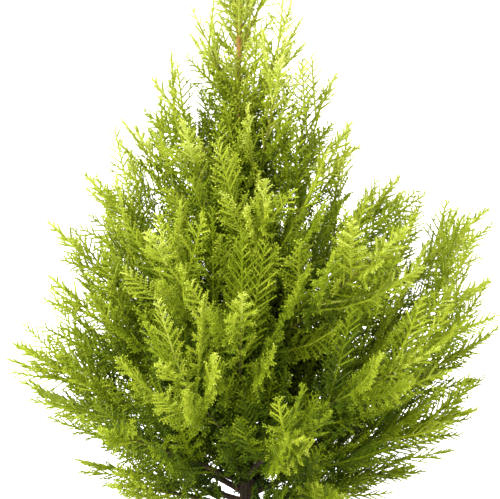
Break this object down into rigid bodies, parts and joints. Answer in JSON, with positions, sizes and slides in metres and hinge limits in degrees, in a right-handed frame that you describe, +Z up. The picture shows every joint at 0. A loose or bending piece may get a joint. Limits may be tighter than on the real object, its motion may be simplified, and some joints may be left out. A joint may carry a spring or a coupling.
{
  "type": "cypress tree",
  "caption": "Young cypress tree with a broad cone of feathery yellow-green plumes round a straight slender trunk, cut flat at the ground.",
  "frame": {"origin": "middle of the flat cut under the trunk, at ground level", "axes": "+Z up along the trunk; +X to the tree's right side and -Y to its front, as first seen"},
  "size_m": [0.4851, 0.4839, 0.6429],
  "materials": {
    "bark": "rough bark",
    "foliage": "satin yellow-green needles"
  },
  "bodies": {
    "root": {"trunk": "bark", "skirt_bough_1": "bark", "skirt_bough_2": "bark", "skirt_bough_3": "bark", "skirt_bough_4": "bark", "skirt_bough_5": "bark", "skirt_plume_1": "foliage", "skirt_plume_2": "foliage", "skirt_plume_3": "foliage", "skirt_plume_4": "foliage", "skirt_plume_5": "foliage", "lower_bough_1": "bark", "lower_bough_2": "bark", "lower_bough_3": "bark", "lower_bough_4": "bark", "lower_bough_5": "bark", "lower_bough_6": "bark", "lower_plume_1": "foliage", "lower_plume_2": "foliage", "lower_plume_3": "foliage", "lower_plume_4": "foliage", "lower_plume_5": "foliage", "lower_plume_6": "foliage", "broad_plume_1": "foliage", "broad_plume_2": "foliage", "broad_plume_3": "foliage", "broad_plume_4": "foliage", "broad_plume_5": "foliage", "broad_plume_6": "foliage", "middle_plume_1": "foliage", "middle_plume_2": "foliage", "middle_plume_3": "foliage", "middle_plume_4": "foliage", "middle_plume_5": "foliage", "shoulder_plume_1": "foliage", "shoulder_plume_2": "foliage", "shoulder_plume_3": "foliage", "shoulder_plume_4": "foliage", "shoulder_plume_5": "foliage", "shoulder_plume_6": "foliage", "collar_plume_1": "foliage", "collar_plume_2": "foliage", "collar_plume_3": "foliage", "collar_plume_4": "foliage", "upper_plume_1": "foliage", "upper_plume_2": "foliage", "upper_plume_3": "foliage", "upper_plume_4": "foliage", "neck_plume_1": "foliage", "neck_plume_2": "foliage", "neck_plume_3": "foliage", "neck_plume_4": "foliage", "crest_plume_1": "foliage", "crest_plume_2": "foliage", "crest_plume_3": "foliage", "spire_plume_1": "foliage", "spire_plume_2": "foliage", "spire_plume_3": "foliage", "leader_plume": "foliage"}
  },
  "joints": []
}
